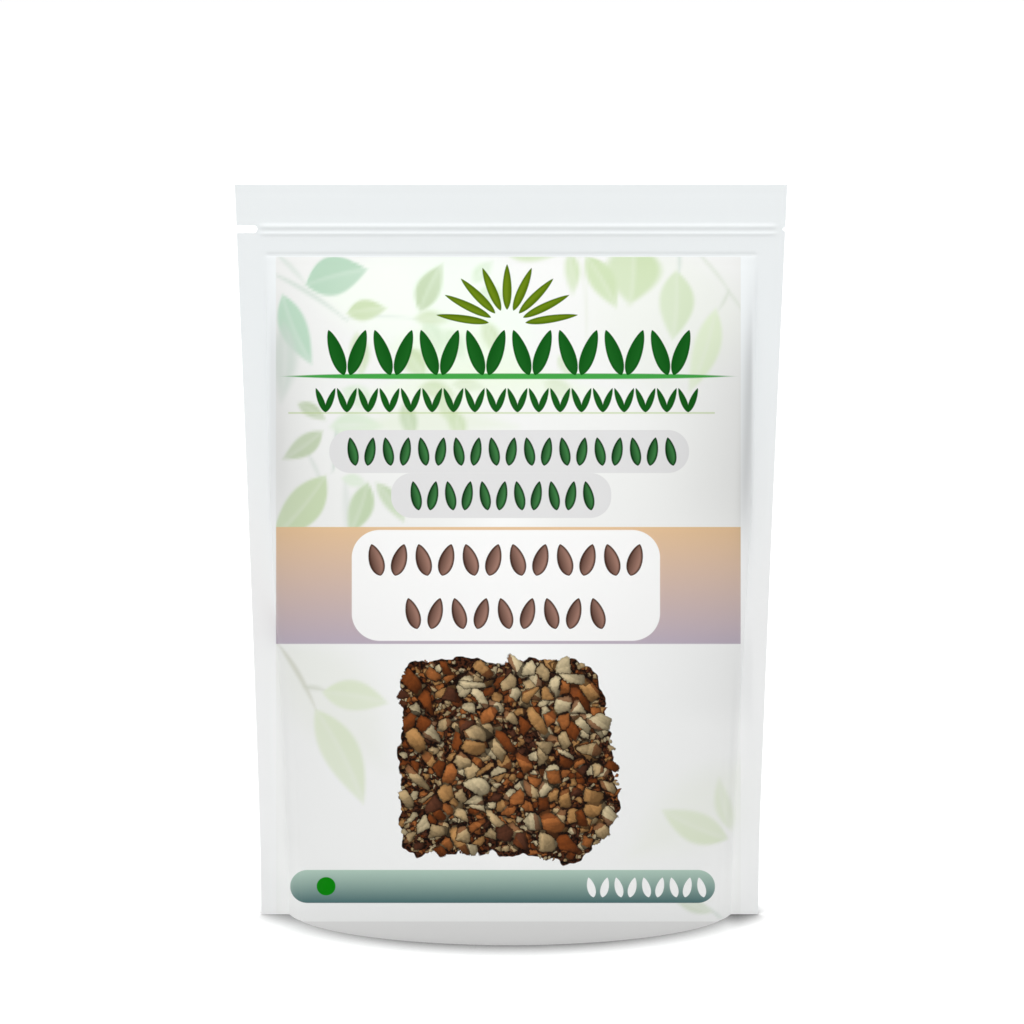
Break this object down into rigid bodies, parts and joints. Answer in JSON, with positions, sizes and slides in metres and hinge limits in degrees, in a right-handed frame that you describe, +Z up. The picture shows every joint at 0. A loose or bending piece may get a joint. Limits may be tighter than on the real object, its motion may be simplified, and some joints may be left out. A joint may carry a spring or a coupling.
{
  "type": "stand-up zip pouch",
  "caption": "Filled, shut stand-up pouch of glossy film with flat side seals, a press-to-close zip under its header and an opened bottom gusset.",
  "frame": {"origin": "on the floor, under the middle of the pouch", "axes": "+Z up, -Y towards the viewer of the front, +X to that viewer's right"},
  "size_m": [0.23, 0.0894, 0.317],
  "materials": {
    "film": "opaque white packaging film, satin to glossy, with printed fields of colour on its front"
  },
  "bodies": {
    "root": {"pouch": "film"}
  },
  "joints": []
}
